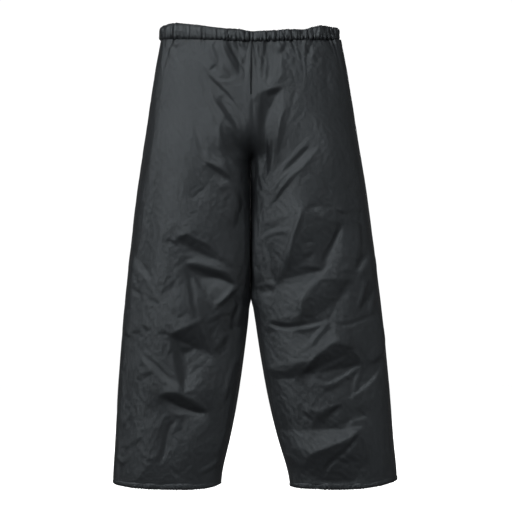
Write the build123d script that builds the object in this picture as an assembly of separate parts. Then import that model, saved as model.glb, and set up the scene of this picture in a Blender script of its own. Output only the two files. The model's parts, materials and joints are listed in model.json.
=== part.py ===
"""Insulated over-trousers: padded nylon legs, an elastic waistband and elastic hems.

The trousers hang from the waist as a wearer holds them. +Z is up, the front faces -Y and +X is the
wearer's left. The origin is the centre of the waist opening, level with the top of the waistband.
Each half is a wall of three layers (shell, wadding, lining) between nested lofts, cut into a front and
a back panel along the side seam and the inseam. The wall is divided at the hip and the knee, where the
cloth folds: the short lengths that crumple there are nodes of their own.
"""
from build123d import *
from math import atan2, cos, degrees, pi, sin
import os

# Lengths in millimetres, heights measured down from the top of the waistband.
TOTAL_LENGTH = 980
BAND_HEIGHT = 32
HEM_HEIGHT = 14
CROTCH_CURVE_TOP = -215
CROTCH = -290
KNEE_AXIS = -620

# The folding lengths. The hip fold slants up from the crotch to the side of the hip, as a groin does.
HIP_FOLD_TOP = -296
HIP_FOLD_RISE = 96
HIP_FOLD_RISE_WIDTH = 235
HIP_FOLD_DEPTH = 115
KNEE_FOLD_HALF = 56
BODY_GAP = 0.4

# Wall layers, from the outside in.
SHELL = 1.0
WADDING = 7.0
LINING = 1.0
LAYER_GAP = 0.2
WALL = SHELL + WADDING + LINING + 2 * LAYER_GAP
LEG_GAP = 1.0

# Shape of the outside: height, half-width at the side seam, inseam, half-depth.
OUTLINE = [
    (-32, 190, 1.5, 50),
    (-80, 200, 1.5, 57),
    (-140, 210, 1.5, 63),
    (-215, 222, 1.5, 67),
    (-290, 234, 1.5, 68),
    (-370, 246, 1.5, 66),
    (-460, 257, 1.5, 61),
    (-546, 267, 1.5, 57),
    (-620, 274, 9, 54),
    (-700, 281, 21, 51),
    (-785, 288, 36, 49),
    (-870, 294, 54, 47),
    (-966, 299, 75, 44),
]
CROTCH_STATIONS = 5
ROUNDNESS = 2.4
SECTION_POINTS = 24

# Waistband: a puffy casing that holds a flat elastic.
BAND_BULGE = 5
BAND_THICK = 17
WAIST_ELASTIC = (2.0, 25)

# Hems: a narrow casing with a narrow elastic.
HEM_BULGE = 2.5
HEM_THICK = 10
HEM_ELASTIC = (1.5, 8)

ELASTIC_CLEARANCE = 0.3

# Trim.
SEAM_WIDTH = 3.0
SEAM_RAISED = 1.0
SEAM_CLEARANCE = 0.1
SEAM_END = 20
LABEL = (30, 0.5, 38)
TRIM_DROP = 1
FAR = 2000


def outline(z):
    """Half-width, inseam and half-depth of the outside at a height."""
    for upper, lower in zip(OUTLINE, OUTLINE[1:]):
        if lower[0] <= z <= upper[0]:
            share = (upper[0] - z) / (upper[0] - lower[0])
            return [a + share * (b - a) for a, b in zip(upper[1:], lower[1:])]
    end = OUTLINE[0] if z > OUTLINE[0][0] else OUTLINE[-1]
    return list(end[1:])


def ellipse_at(z):
    """Centre, half-width and half-depth of the left half's section at a height.

    Above the crotch curve the section is centred on the trousers and only its left half is kept.
    Down the crotch curve it narrows and moves out, until at the crotch it is the leg alone.
    """
    half_width, inseam, half_depth = outline(z)
    if z >= CROTCH:
        down = max(0, (CROTCH_CURVE_TOP - z) / (CROTCH_CURVE_TOP - CROTCH))
        a = half_width / (1 + down)
        return half_width - a, a, half_depth
    return (half_width + inseam) / 2, (half_width - inseam) / 2, half_depth


def rounded(value):
    """The superellipse's power, with the sign kept."""
    return abs(value) ** (2 / ROUNDNESS) * (1 if value > 0 else -1)


def section(z, inset, shape=None):
    """A superellipse face at a height, moved in by inset all round."""
    centre, a, b = shape or ellipse_at(z)
    angles = [2 * pi * i / SECTION_POINTS for i in range(SECTION_POINTS)]
    points = [(centre + (a - inset) * rounded(cos(t)), (b - inset) * rounded(sin(t))) for t in angles]
    return Pos(0, 0, z) * make_face(Spline(*points, periodic=True))


def tube(inset):
    """The left half from the waistband seam to the hem seam, solid, moved in by inset."""
    curve = [
        CROTCH_CURVE_TOP + (CROTCH - CROTCH_CURVE_TOP) * i / CROTCH_STATIONS
        for i in range(1, CROTCH_STATIONS)
    ]
    heights = sorted([row[0] for row in OUTLINE] + curve, reverse=True)
    return loft([section(z, inset) for z in heights], ruled=True)


def slab(x0, x1, y0, y1, z0, z1):
    """A box between two corners."""
    box = Box(x1 - x0, y1 - y0, z1 - z0)
    return Pos((x0 + x1) / 2, (y0 + y1) / 2, (z0 + z1) / 2) * box


def below_slant(drop):
    """Everything below the hip fold's upper plane, moved down by drop."""
    slope = degrees(atan2(HIP_FOLD_RISE, HIP_FOLD_RISE_WIDTH))
    block = slab(-FAR, FAR, -FAR, FAR, -FAR, 0)
    return Pos(0, 0, HIP_FOLD_TOP - drop) * (Rot(0, -slope, 0) * block)


def regions():
    """The left half's lengths from waist to hem, as spaces to keep."""
    hem = -TOTAL_LENGTH + HEM_HEIGHT
    knee_top = KNEE_AXIS + KNEE_FOLD_HALF
    knee_bottom = KNEE_AXIS - KNEE_FOLD_HALF
    all_left = slab(0, FAR, -FAR, FAR, hem - 1, 0)
    leg_side = slab(LEG_GAP, FAR, -FAR, FAR, hem - 1, 0)
    under_hip = leg_side & below_slant(HIP_FOLD_DEPTH + BODY_GAP)
    return {
        "seat": all_left - below_slant(0),
        "hip": (leg_side & below_slant(0)) - below_slant(HIP_FOLD_DEPTH),
        "thigh": under_hip & slab(0, FAR, -FAR, FAR, knee_top, 0),
        "knee": slab(LEG_GAP, FAR, -FAR, FAR, knee_bottom + BODY_GAP, knee_top),
        "shin": slab(LEG_GAP, FAR, -FAR, FAR, hem, knee_bottom),
    }


def halves():
    """Front and back of the side seam."""
    return {
        "front": slab(-FAR, FAR, -FAR, 0, -FAR, FAR),
        "back": slab(-FAR, FAR, 0, FAR, -FAR, FAR),
    }


def leg_layers():
    """The left half's shell, wadding and lining, each a closed wall from waist to hem."""
    depth = 0
    layers = {}
    for name, thick in (("shell", SHELL), ("wadding", WADDING), ("lining", LINING)):
        layers[name] = tube(depth) - tube(depth + thick)
        depth += thick + LAYER_GAP
    return layers


def ring(top, bottom, middle, shape, bulge, thick):
    """A puffy closed ring: its outside bulges and its inside bulges inwards, between two heights."""
    height = top - bottom
    # Share of the height, and how much of the bulge stands there.
    profile = [(0, 0), (0.12, 0.55), (0.5, 1), (0.88, 0.55), (1, 0)]
    flat = (thick - 2 * bulge) / 2
    outside = [section(top - s * height, -middle - flat - k * bulge, shape) for s, k in profile]
    inside = [section(top - s * height, -middle + flat + k * bulge, shape) for s, k in profile]
    return loft(outside, ruled=True) - loft(inside, ruled=True)


def band(middle_z, middle, shape, thick, height):
    """A flat band of elastic standing on edge, following a section."""
    levels = (middle_z + height / 2, middle_z - height / 2)
    outside = loft([section(z, -middle - thick / 2, shape) for z in levels], ruled=True)
    inside = loft([section(z, -middle + thick / 2, shape) for z in levels], ruled=True)
    return outside - inside


def cased_elastic(top, bottom, middle, shape, bulge, thick, elastic):
    """A casing with a channel, and the elastic that lies in it."""
    elastic_thick, elastic_height = elastic
    middle_z = (top + bottom) / 2
    room = 2 * ELASTIC_CLEARANCE
    channel = band(middle_z, middle, shape, elastic_thick + room, elastic_height + room)
    casing = ring(top, bottom, middle, shape, bulge, thick) - channel
    return casing, band(middle_z, middle, shape, elastic_thick, elastic_height)


def raised_seam(side):
    """The rise seam's ridge down the centre of the seat, on one side of the wearer."""
    outer = tube(-SEAM_CLEARANCE - SEAM_RAISED)
    inner = tube(-SEAM_CLEARANCE)
    low, high = (-FAR, 0) if side == "front" else (0, FAR)
    strip = slab(0, SEAM_WIDTH / 2, low, high, CROTCH + SEAM_END, -BAND_HEIGHT - TRIM_DROP)
    half = (outer - inner) & strip
    return half + mirror(half, about=Plane.YZ)


def label():
    """A blank care label hanging from the waist seam, inside the back."""
    width, thick, length = LABEL
    inner = OUTLINE[0][3] - WALL
    return slab(
        -width / 2, width / 2,
        inner - thick - SEAM_CLEARANCE, inner - SEAM_CLEARANCE,
        -BAND_HEIGHT - TRIM_DROP - length, -BAND_HEIGHT - TRIM_DROP,
    )


def solids_of(shape):
    """The shape's solids as one compound, without slivers."""
    return Compound([s for s in shape.solids() if s.volume > 1])


def save(name, shape):
    """Writes one node."""
    export_step(solids_of(shape), f"parts/{name}.step")


def save_both_sides(name, left_shape):
    """Writes a left node and its mirror image on the right."""
    save(f"left_{name}", left_shape)
    save(f"right_{name}", mirror(left_shape, about=Plane.YZ))


def save_walls():
    """Cuts the three layers into the panels of each length."""
    spaces = regions()
    sides = halves()
    for layer, wall in leg_layers().items():
        for place, space in spaces.items():
            piece = wall & space
            pair = {side: piece & keep for side, keep in sides.items()}
            if layer == "shell" and place not in ("hip", "knee"):
                for side, panel in pair.items():
                    save_both_sides(f"{place}_{layer}_{side}", panel)
            else:
                save_both_sides(f"{place}_{layer}", Compound(pair["front"].solids() + pair["back"].solids()))


def save_waist():
    """Writes the waistband, its elastic, the rise seams and the care label."""
    half_width, _, half_depth = outline(-BAND_HEIGHT)
    shape = (0, half_width, half_depth)
    casing, elastic = cased_elastic(0, -BAND_HEIGHT, -WALL / 2, shape, BAND_BULGE, BAND_THICK, WAIST_ELASTIC)
    save("waistband_casing", casing)
    save("waist_elastic", elastic)
    for side in ("front", "back"):
        save(f"{side}_rise_seam", raised_seam(side))
    save("care_label", label())


def save_hems():
    """Writes the hem casing and elastic of each leg."""
    hem = -TOTAL_LENGTH
    centre, half_width, half_depth = ellipse_at(hem)
    shape = (centre, half_width, half_depth)
    casing, elastic = cased_elastic(hem + HEM_HEIGHT, hem, -WALL / 2, shape, HEM_BULGE, HEM_THICK, HEM_ELASTIC)
    save_both_sides("hem_casing", casing)
    save_both_sides("hem_elastic", elastic)


os.makedirs("parts", exist_ok=True)
save_walls()
save_waist()
save_hems()
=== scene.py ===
"""Insulated over-trousers in black padded nylon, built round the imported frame.

The wall of each leg is a grid of cloth from the waist seam to the hem seam: front and back panels for
each side, joined at the side seam, the inseam and the rise. Folds are laid on as ridge and valley lines
that the cloth is stretched between like a tent, and a cloth simulation then settles the shell.
Lengths here are millimetres until a mesh is made. +X is the wearer's left and -Y the front.
"""
import json
import math

import bmesh
import bpy
import numpy as np
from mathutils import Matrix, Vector


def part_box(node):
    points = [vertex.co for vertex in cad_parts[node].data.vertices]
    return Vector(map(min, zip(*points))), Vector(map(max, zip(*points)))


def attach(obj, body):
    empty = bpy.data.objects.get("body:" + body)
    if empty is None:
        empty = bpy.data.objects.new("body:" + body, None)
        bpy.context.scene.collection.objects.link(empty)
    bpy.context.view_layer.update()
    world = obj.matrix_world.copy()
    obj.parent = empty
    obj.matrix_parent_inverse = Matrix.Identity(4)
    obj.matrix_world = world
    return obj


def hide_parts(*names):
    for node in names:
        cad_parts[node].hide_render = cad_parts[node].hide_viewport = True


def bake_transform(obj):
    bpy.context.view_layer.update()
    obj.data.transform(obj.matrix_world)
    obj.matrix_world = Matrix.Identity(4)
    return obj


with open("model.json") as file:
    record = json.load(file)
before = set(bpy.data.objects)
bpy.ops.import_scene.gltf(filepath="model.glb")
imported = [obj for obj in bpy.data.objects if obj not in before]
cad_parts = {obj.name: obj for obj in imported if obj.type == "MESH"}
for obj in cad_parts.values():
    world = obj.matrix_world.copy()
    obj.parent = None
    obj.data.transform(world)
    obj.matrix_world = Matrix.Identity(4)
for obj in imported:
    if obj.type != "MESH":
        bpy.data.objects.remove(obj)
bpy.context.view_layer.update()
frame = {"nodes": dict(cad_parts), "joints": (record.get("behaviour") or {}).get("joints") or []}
MM = 0.001
SEED = 716

# ---------------------------------------------------------------- sizes

JOINTS = {joint["name"]: joint for joint in frame["joints"]}
CROTCH = JOINTS["left_hip"]["pos_m"][2] / MM
HEM_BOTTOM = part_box("left_hem_casing")[0][2] / MM
HEM_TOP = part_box("left_hem_casing")[1][2] / MM
BAND_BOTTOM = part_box("waistband_casing")[0][2] / MM
# Height of the curve that the rise ends in, and the power of the sections' superellipses.
CROTCH_CURVE = 110
ROUNDNESS = 2.4
# The legs touch along an S-shaped surface, so that no light shows between them: its swing, the gap along
# it, how far out from the middle it reaches, and where it ends.
LEG_CURVE = 2.2
LEG_CLEAR = 0.25
LEG_TOUCH = 25
LEG_TOUCH_END = -600
# Most that the simulation moves a point.
MOST_MOVE = 9.0

# Outside of the cloth: height, half-width at the side seam, inseam, half-depth.
OUTLINE = np.array([
    (-32, 187, 0, 50),
    (-80, 198, 0, 57),
    (-140, 208, 0, 63),
    (-215, 219, 0, 67),
    (-290, 231, 0, 68),
    (-370, 243.5, 0, 66),
    (-460, 254.5, 0, 61),
    (-546, 264.5, 0, 57),
    (-585, 269, 1.4, 55),
    (-620, 272.5, 6.4, 54),
    (-645, 275, 9.5, 53),
    (-700, 280, 17, 51),
    (-785, 286.5, 30.5, 49),
    (-876, 292, 50, 47),
    (-939, 297.5, 69, 45),
    (-966, 298.5, 73, 44),
], float)
# The garment hangs a little to the wearer's left towards the hems.
LEAN = 8.5
# Outer corner of each hem: how far it is lifted, and how far out from the middle that begins.
HEM_CORNERS = {1: (13, 235), -1: (5, 205)}

# Cells of a panel in the simulation, and how many times finer the finished panel is.
ROWS, COLUMNS = 140, 44
UP = 2


def smooth_table():
    """The outline at every 4 mm, with its corners rounded off."""
    z = np.arange(-1100.0, 100.0, 4.0)
    table = [np.interp(z, OUTLINE[::-1, 0], OUTLINE[::-1, i]) for i in (1, 2, 3)]
    kernel = np.exp(-np.arange(-15, 16) ** 2 / (2 * 6.0**2))
    kernel /= kernel.sum()
    smooth = [np.convolve(np.pad(row, 15, "edge"), kernel, "valid") for row in table]
    return z, smooth


TABLE_Z, TABLE = smooth_table()


def run_length(x, y):
    """Length along a flat line of points, from 0."""
    return np.concatenate([[0], np.cumsum(np.hypot(np.diff(x), np.diff(y)))])


def power(value):
    """The superellipse's power, with the sign kept."""
    return np.sign(value) * np.abs(value) ** (2 / ROUNDNESS)


def ease(value):
    """0 to 1 with flat ends."""
    value = np.clip(value, 0, 1)
    return value * value * (3 - 2 * value)


def crotch_share(z):
    """0 above the crotch curve and 1 at the crotch."""
    return ease((CROTCH + CROTCH_CURVE - z) / CROTCH_CURVE)


def shape_at(z, side):
    """Centre, half-width and half-depth of one side's section, always as if on the +X side."""
    half_width, inseam, depth = (np.interp(z, TABLE_Z, row) for row in TABLE)
    low = np.clip(z / HEM_BOTTOM, 0, 1)
    half_width = half_width + side * LEAN * low**1.5
    inseam = inseam + side * 1.2 * LEAN * low**4 * ease(inseam / 8)
    inseam = inseam + LEG_CLEAR * ease((CROTCH - z) / 6)
    down = crotch_share(z)
    trunk = z >= CROTCH
    a = np.where(trunk, half_width / (1 + down), (half_width - inseam) / 2)
    centre = np.where(trunk, half_width - a, (half_width + inseam) / 2)
    return centre, a, depth


def end_angle(z):
    """The section's angle at the centre seam or the inseam."""
    down = crotch_share(z)
    return np.arccos(-(down ** (ROUNDNESS / 2)))


def edge_heights(rows, top, bottom):
    """Heights down the centre seam and inseam, evenly spaced along that edge."""
    down = 1 - (1 - np.linspace(0, 1, 3000)) ** 2
    curve = CROTCH + CROTCH_CURVE - CROTCH_CURVE * down
    above, below = np.linspace(top, CROTCH + CROTCH_CURVE, 400), np.linspace(CROTCH, bottom, 800)
    z = np.concatenate([above[:-1], curve, below[1:]])
    _, a, depth = shape_at(z, 1)
    y = depth * power(np.sin(end_angle(z)))
    length = run_length(z, y)
    return np.interp(np.linspace(0, length[-1], rows + 1), length, z)


def panel(side, face, rows, columns):
    """Points from the waist seam (row 0) to the hem, and from the side seam (column 0) to the centre."""
    top_side, top_centre, hem = BAND_BOTTOM - 3, BAND_BOTTOM - 11, HEM_TOP + 2
    v = np.linspace(0, 1, rows + 1)
    z_side = top_side + (hem - top_side) * v
    z_edge = edge_heights(rows, top_centre, hem)
    u = np.linspace(0, 1, columns + 1)
    points = np.zeros((rows + 1, columns + 1, 3))
    for r in range(rows + 1):
        last = end_angle(z_edge[r])
        t = np.linspace(0, 1, 400) * last
        z = z_side[r] + (z_edge[r] - z_side[r]) * np.linspace(0, 1, 400) ** 1.5
        centre, a, depth = shape_at(z, side)
        x = centre + a * power(np.cos(t))
        y = depth * power(np.sin(t))
        length = run_length(x, y)
        t_even = np.interp(u * length[-1], length, t)
        z_even = np.interp(t_even, t, z)
        centre, a, depth = shape_at(z_even, side)
        points[r, :, 0] = side * (centre + a * power(np.cos(t_even)))
        points[r, :, 1] = face * depth * power(np.sin(t_even))
        points[r, :, 2] = z_even
    points[np.abs(points) < 1e-6] = 0
    rise, begins = HEM_CORNERS[side]
    lift = rise * ease((side * points[..., 0] - begins) / 70)
    points[..., 2] += lift * ease((-870 - points[..., 2]) / 90)
    return points


# ---------------------------------------------------------------- folds

# Ridge (+) and valley (-) lines on the front: height in mm, then the line's points across (x) and up (z).
FRONT_FOLDS = [
    # gathers under the waistband, wearer's right
    (-5.0, (-95, -42), (-90, -62), (-84, -83), (-76, -95), (-66, -108)),
    (3.0, (-82, -44), (-84, -57), (-78, -75), (-68, -92), (-55, -110)),
    (-5.0, (-52, -44), (-42, -62), (-29, -83), (-18, -98), (-8, -112)),
    (3.0, (-62, -46), (-53, -66), (-40, -90), (-28, -112)),
    (-2.0, (-70, -54), (-61, -74), (-49, -100), (-35, -125)),
    (-3.5, (-28, -46), (-21, -58), (-14, -66)),
    (-3.0, (-170, -42), (-160, -54), (-154, -62)),
    (-3.0, (-137, -40), (-140, -50), (-147, -58)),
    (-2.0, (-118, -42), (-116, -54)),
    # gathers under the waistband, wearer's left
    (-5.5, (94, -46), (103, -63), (114, -78), (129, -87)),
    (3.0, (104, -46), (113, -60), (124, -73), (140, -80)),
    (-3.5, (47, -62), (52, -70), (60, -69), (68, -60), (72, -47)),
    (2.5, (54, -50), (60, -58), (66, -50)),
    (-4.0, (21, -48), (21, -70), (25, -80)),
    (-3.5, (36, -47), (34, -70), (37, -85)),
    (-3.5, (45, -47), (43, -85), (40, -130)),
    (3.5, (52, -75), (62, -101), (57, -132)),
    (-3.0, (115, -52), (121, -66), (113, -73)),
    (-2.5, (130, -74), (143, -84)),
    (2.0, (89, -74), (81, -90)),
    # long folds that run into the crotch, wearer's right
    (3.5, (-107, -85), (-88, -110), (-60, -138), (-36, -166), (-20, -196), (-11, -240)),
    (-4.0, (-104, -89), (-83, -122), (-54, -150), (-30, -177), (-19, -202), (-12, -240)),
    (-2.5, (-108, -90), (-100, -125), (-88, -162), (-74, -198), (-66, -228)),
    (-2.5, (-72, -158), (-57, -176), (-42, -201), (-24, -230)),
    (2.0, (-80, -160), (-64, -182), (-48, -208), (-30, -236)),
    (4.0, (-64, -205), (-46, -210), (-27, -239), (-13, -270)),
    (-6.5, (-50, -215), (-34, -247), (-16, -277), (-5, -303), (0, -327)),
    (-5.5, (-66, -208), (-53, -234), (-38, -258), (-21, -278)),
    (3.0, (-68, -212), (-60, -245), (-47, -278), (-36, -310)),
    (-2.5, (-117, -200), (-109, -246), (-94, -290)),
    (-4.5, (-92, -299), (-66, -320), (-40, -337)),
    (3.5, (-92, -296), (-68, -308), (-44, -326), (-33, -338)),
    (3.0, (-68, -347), (-48, -346), (-36, -338)),
    (-3.5, (-66, -350), (-50, -365), (-34, -392), (-24, -420)),
    (3.5, (-40, -345), (-33, -372), (-37, -400), (-41, -430)),
    (-5.0, (-30, -350), (-22, -378), (-28, -408), (-36, -438)),
    # wearer's left of the rise
    (-4.0, (3, -150), (6, -200), (8, -250), (9, -300)),
    (4.5, (31, -148), (46, -144), (64, -138)),
    (-5.0, (33, -158), (46, -154), (60, -143)),
    (-4.0, (37, -166), (29, -190), (27, -228), (24, -284), (16, -321)),
    (4.5, (69, -143), (60, -182), (56, -228), (50, -284), (37, -340)),
    (2.5, (20, -150), (16, -190), (13, -230), (10, -290)),
    (-4.0, (127, -260), (97, -294), (46, -347), (34, -378)),
    (3.0, (134, -268), (104, -304), (60, -350), (44, -382)),
    (3.0, (118, -252), (88, -284), (50, -322)),
    # wearer's right thigh and knee
    (4.0, (-155, -450), (-133, -446), (-108, -457), (-80, -473), (-60, -498)),
    (-4.5, (-152, -459), (-123, -477), (-98, -493), (-72, -510), (-60, -514)),
    (4.5, (-131, -508), (-113, -503), (-87, -512), (-70, -518), (-51, -526), (-34, -549)),
    (-5.0, (-133, -512), (-108, -528), (-85, -534), (-67, -531), (-49, -540), (-34, -552)),
    (4.5, (-32, -552), (-51, -572), (-71, -592)),
    (-3.0, (-131, -516), (-124, -550), (-118, -588), (-113, -622)),
    (-4.5, (-40, -566), (-26, -590), (-34, -622), (-30, -650)),
    (4.5, (-165, -652), (-143, -636), (-118, -629), (-111, -624)),
    (-5.0, (-165, -656), (-143, -666), (-118, -680), (-95, -695), (-81, -699)),
    (2.5, (-108, -624), (-99, -651), (-89, -676), (-79, -698)),
    (3.5, (-167, -656), (-162, -682), (-155, -716), (-149, -753), (-146, -773)),
    (-4.0, (-160, -664), (-143, -694), (-135, -728), (-140, -764)),
    (3.0, (-52, -652), (-62, -668), (-74, -684)),
    (-3.5, (-44, -655), (-52, -676), (-66, -690)),
    (1.6, (-232, -697), (-207, -722), (-174, -750), (-148, -771)),
    (-1.4, (-226, -692), (-200, -716), (-168, -744), (-146, -766)),
    (1.4, (-218, -690), (-190, -713), (-160, -742)),
    (5.0, (-187, -780), (-174, -772), (-153, -774), (-133, -782), (-113, -795), (-95, -808)),
    (-5.5, (-187, -784), (-164, -795), (-138, -805), (-113, -814), (-95, -813)),
    (3.0, (-186, -794), (-165, -812), (-140, -824), (-112, -828)),
    (-3.0, (-214, -800), (-200, -816), (-184, -826), (-170, -824)),
    (3.0, (-30, -700), (-42, -735), (-52, -770), (-58, -800)),
    (-3.5, (-248, -491), (-230, -502), (-210, -534)),
    (3.0, (-248, -512), (-232, -520), (-214, -540)),
    (-2.5, (-250, -556), (-238, -564), (-228, -572)),
    (2.5, (-268, -646), (-256, -654), (-232, -664)),
    (-2.0, (-266, -652), (-252, -662)),
    (-1.8, (-218, -585), (-204, -584), (-192, -588)),
    # wearer's right shin
    (-4.0, (-160, -830), (-172, -852), (-178, -884), (-188, -922)),
    (3.5, (-176, -918), (-156, -904), (-116, -900), (-78, -893)),
    (-3.5, (-112, -933), (-90, -920), (-68, -904)),
    (3.0, (-108, -942), (-84, -928), (-66, -913)),
    (-2.0, (-172, -924), (-160, -938), (-146, -950)),
    (2.0, (-270, -834), (-260, -848)),
    (-2.0, (-278, -860), (-263, -876)),
    (2.5, (-280, -908), (-268, -920)),
    # wearer's left thigh
    (5.0, (105, -394), (97, -421), (86, -447), (80, -469), (74, -508)),
    (-4.5, (186, -428), (174, -458), (159, -484), (148, -508)),
    (3.0, (105, -393), (148, -406), (188, -421)),
    (-2.5, (114, -393), (140, -387), (174, -389)),
    (3.0, (187, -398), (204, -409), (202, -419), (223, -432), (221, -455), (221, -482), (210, -516)),
    (-4.0, (192, -390), (214, -404), (214, -416), (236, -430), (236, -456)),
    (-4.5, (243, -487), (228, -505), (212, -523)),
    (4.0, (250, -488), (236, -510), (222, -534)),
    (4.5, (75, -509), (88, -516), (116, -511), (147, -514)),
    (-5.5, (53, -548), (69, -537), (97, -528), (127, -522), (147, -518)),
    (4.0, (46, -466), (62, -488), (58, -514), (52, -546)),
    (-4.5, (20, -450), (38, -482), (40, -512), (48, -546)),
    (3.0, (20, -460), (34, -446), (60, -438), (84, -440)),
    (-3.0, (112, -462), (126, -458)),
    # wearer's left knee
    (4.0, (52, -550), (44, -586), (35, -619)),
    (-4.0, (8, -570), (28, -566), (46, -560)),
    (3.5, (10, -556), (30, -549), (48, -546)),
    (4.5, (206, -540), (170, -536), (136, -539), (114, -565), (105, -593), (108, -620)),
    (-4.5, (206, -545), (180, -582), (148, -602), (122, -626)),
    (3.5, (232, -563), (192, -593), (166, -618)),
    (-4.5, (260, -556), (240, -582), (220, -606)),
    (4.0, (239, -539), (234, -565), (222, -598)),
    (4.0, (264, -560), (253, -590), (252, -612)),
    (-5.0, (34, -627), (58, -636), (86, -637), (116, -631), (157, -625)),
    (-4.0, (166, -625), (183, -632), (204, -631), (253, -614), (276, -605)),
    (4.0, (88, -640), (120, -638), (158, -629), (140, -651), (118, -681)),
    (3.0, (166, -633), (186, -639), (206, -637)),
    (-4.0, (162, -636), (158, -660), (140, -690)),
    # wearer's left shin
    (5.0, (105, -733), (129, -706), (150, -683), (186, -665), (215, -682)),
    (-6.0, (106, -735), (136, -721), (173, -705), (214, -687)),
    (5.0, (108, -738), (132, -736), (173, -716), (215, -691)),
    (-4.5, (145, -742), (177, -737), (229, -716)),
    (4.0, (150, -759), (182, -750), (231, -718)),
    (3.5, (215, -683), (231, -715), (219, -754), (214, -780)),
    (1.8, (186, -795), (223, -774), (262, -740), (280, -710)),
    (-1.5, (190, -789), (226, -768), (258, -738), (276, -708)),
    (1.8, (246, -713), (264, -700), (283, -683)),
    (-1.8, (246, -720), (266, -708), (286, -690)),
    (3.0, (187, -796), (146, -813), (98, -838)),
    (-3.0, (186, -800), (164, -818), (150, -838), (132, -842)),
    (3.0, (207, -827), (220, -830), (238, -827)),
    (-3.0, (222, -814), (238, -824)),
    (-3.5, (141, -842), (182, -850), (229, -843)),
    (4.5, (229, -847), (196, -869), (159, -884), (127, -889)),
    (-4.0, (226, -856), (200, -890), (165, -920), (150, -946)),
    (3.0, (228, -857), (239, -884), (240, -918)),
    (3.0, (32, -727), (68, -729), (118, -711)),
    (-3.0, (44, -745), (76, -744), (104, -735)),
    (3.5, (75, -902), (91, -916), (102, -932)),
    (-4.0, (78, -916), (90, -930), (92, -950)),
]

# Broad facets on the front: how steeply each falls across and up, then its corners.
FRONT_FACETS = [
    # rise and top
    (0.30, -0.45, (-65, -209), (-34, -235), (-7, -277), (-2, -330), (-44, -267)),
    (0.30, -0.10, (-65, -212), (-49, -277), (-39, -340), (-65, -277)),
    (0.35, -0.10, (8, -156), (45, -141), (61, -146), (35, -188), (24, -267), (14, -330), (6, -267)),
    (-0.30, 0.10, (61, -146), (69, -183), (50, -246), (40, -309), (29, -330), (29, -214)),
    (0.25, -0.10, (69, -141), (92, -146), (71, -225), (45, -330), (56, -240)),
    (0.25, -0.25, (-107, -88), (-65, -156), (-18, -240), (-10, -272), (-34, -235), (-76, -172)),
    (0.35, 0.00, (-97, -46), (-76, -46), (-65, -94), (-81, -94)),
    (0.40, -0.10, (-55, -46), (-34, -46), (-13, -88), (-23, -94)),
    (-0.25, 0.00, (40, -57), (61, -62), (64, -88), (50, -109), (34, -136)),
    # wearer's right thigh and knee
    (0.20, -0.42, (-153, -452), (-134, -445), (-88, -464), (-55, -504), (-80, -494), (-118, -477)),
    (-0.10, 0.20, (-147, -456), (-80, -496), (-55, -508), (-126, -506)),
    (0.10, -0.48, (-130, -506), (-71, -519), (-34, -546), (-88, -531)),
    (-0.18, 0.16, (-126, -515), (-38, -548), (-71, -590)),
    (0.28, 0.00, (-139, -510), (-126, -515), (-71, -592), (-109, -603), (-113, -624), (-126, -586)),
    (0.22, -0.22, (-71, -590), (-34, -552), (-4, -578), (-13, -636), (-55, -645)),
    (0.25, -0.42, (-166, -651), (-111, -626), (-80, -695), (-139, -670)),
    (0.35, 0.00, (-164, -653), (-147, -699), (-139, -771), (-160, -720)),
    (-0.10, 0.12, (-133, -745), (-81, -697), (-39, -763), (-139, -771)),
    (0.22, -0.22, (-250, -515), (-208, -536), (-223, -519), (-244, -489)),
    # wearer's right shin
    (0.10, -0.52, (-185, -777), (-154, -773), (-123, -794), (-96, -809), (-102, -818), (-149, -803)),
    (-0.10, 0.26, (-181, -784), (-149, -803), (-99, -818), (-149, -821), (-168, -813)),
    (0.14, -0.12, (-183, -823), (-165, -818), (-175, -886), (-178, -928), (-154, -960), (-244, -960),
     (-194, -902)),
    (-0.10, 0.05, (-168, -823), (-97, -818), (-49, -787), (-44, -839), (-81, -918), (-149, -928),
     (-175, -913)),
    (0.25, -0.10, (-39, -760), (-13, -676), (-15, -718), (-44, -850), (-60, -918), (-81, -960), (-49, -823)),
    # wearer's left thigh
    (-0.20, 0.15, (8, -319), (66, -309), (103, -393), (24, -424)),
    (0.35, -0.30, (29, -398), (82, -319), (98, -314), (56, -372)),
    (0.24, -0.20, (103, -395), (187, -422), (171, -477), (150, -519), (77, -511)),
    (-0.26, 0.10, (22, -445), (103, -395), (77, -511), (50, -482)),
    (-0.16, 0.10, (187, -422), (224, -430), (221, -487), (208, -519), (150, -519), (171, -477)),
    (0.15, -0.30, (8, -403), (19, -448), (45, -472), (50, -540), (4, -561)),
    (0.26, -0.05, (187, -393), (229, -388), (234, -493), (218, -519), (224, -435)),
    # wearer's left knee
    (0.20, -0.20, (145, -537), (205, -537), (161, -621), (106, -613), (113, -582)),
    (-0.15, 0.15, (56, -550), (134, -540), (103, -582), (106, -613), (35, -624)),
    (0.35, -0.10, (234, -540), (263, -561), (224, -603)),
    (-0.10, 0.18, (29, -650), (82, -645), (129, -703), (35, -724)),
    (-0.12, 0.05, (208, -645), (271, -613), (292, -781), (229, -792), (229, -713)),
    # wearer's left shin
    (0.15, -0.42, (108, -734), (129, -703), (171, -668), (205, -676), (229, -716), (161, -729)),
    (0.15, -0.20, (150, -745), (224, -718), (208, -787), (187, -797), (161, -766)),
    (0.10, -0.20, (134, -823), (187, -797), (234, -771), (224, -823), (161, -850), (129, -844)),
    (-0.15, 0.20, (56, -850), (161, -852), (226, -847), (192, -871), (124, -897)),
    (0.12, -0.32, (226, -855), (124, -902), (108, -928), (140, -957), (213, -960), (237, -913)),
    (0.20, 0.00, (255, -697), (281, -666), (308, -928), (276, -949), (271, -797)),
]

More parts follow.
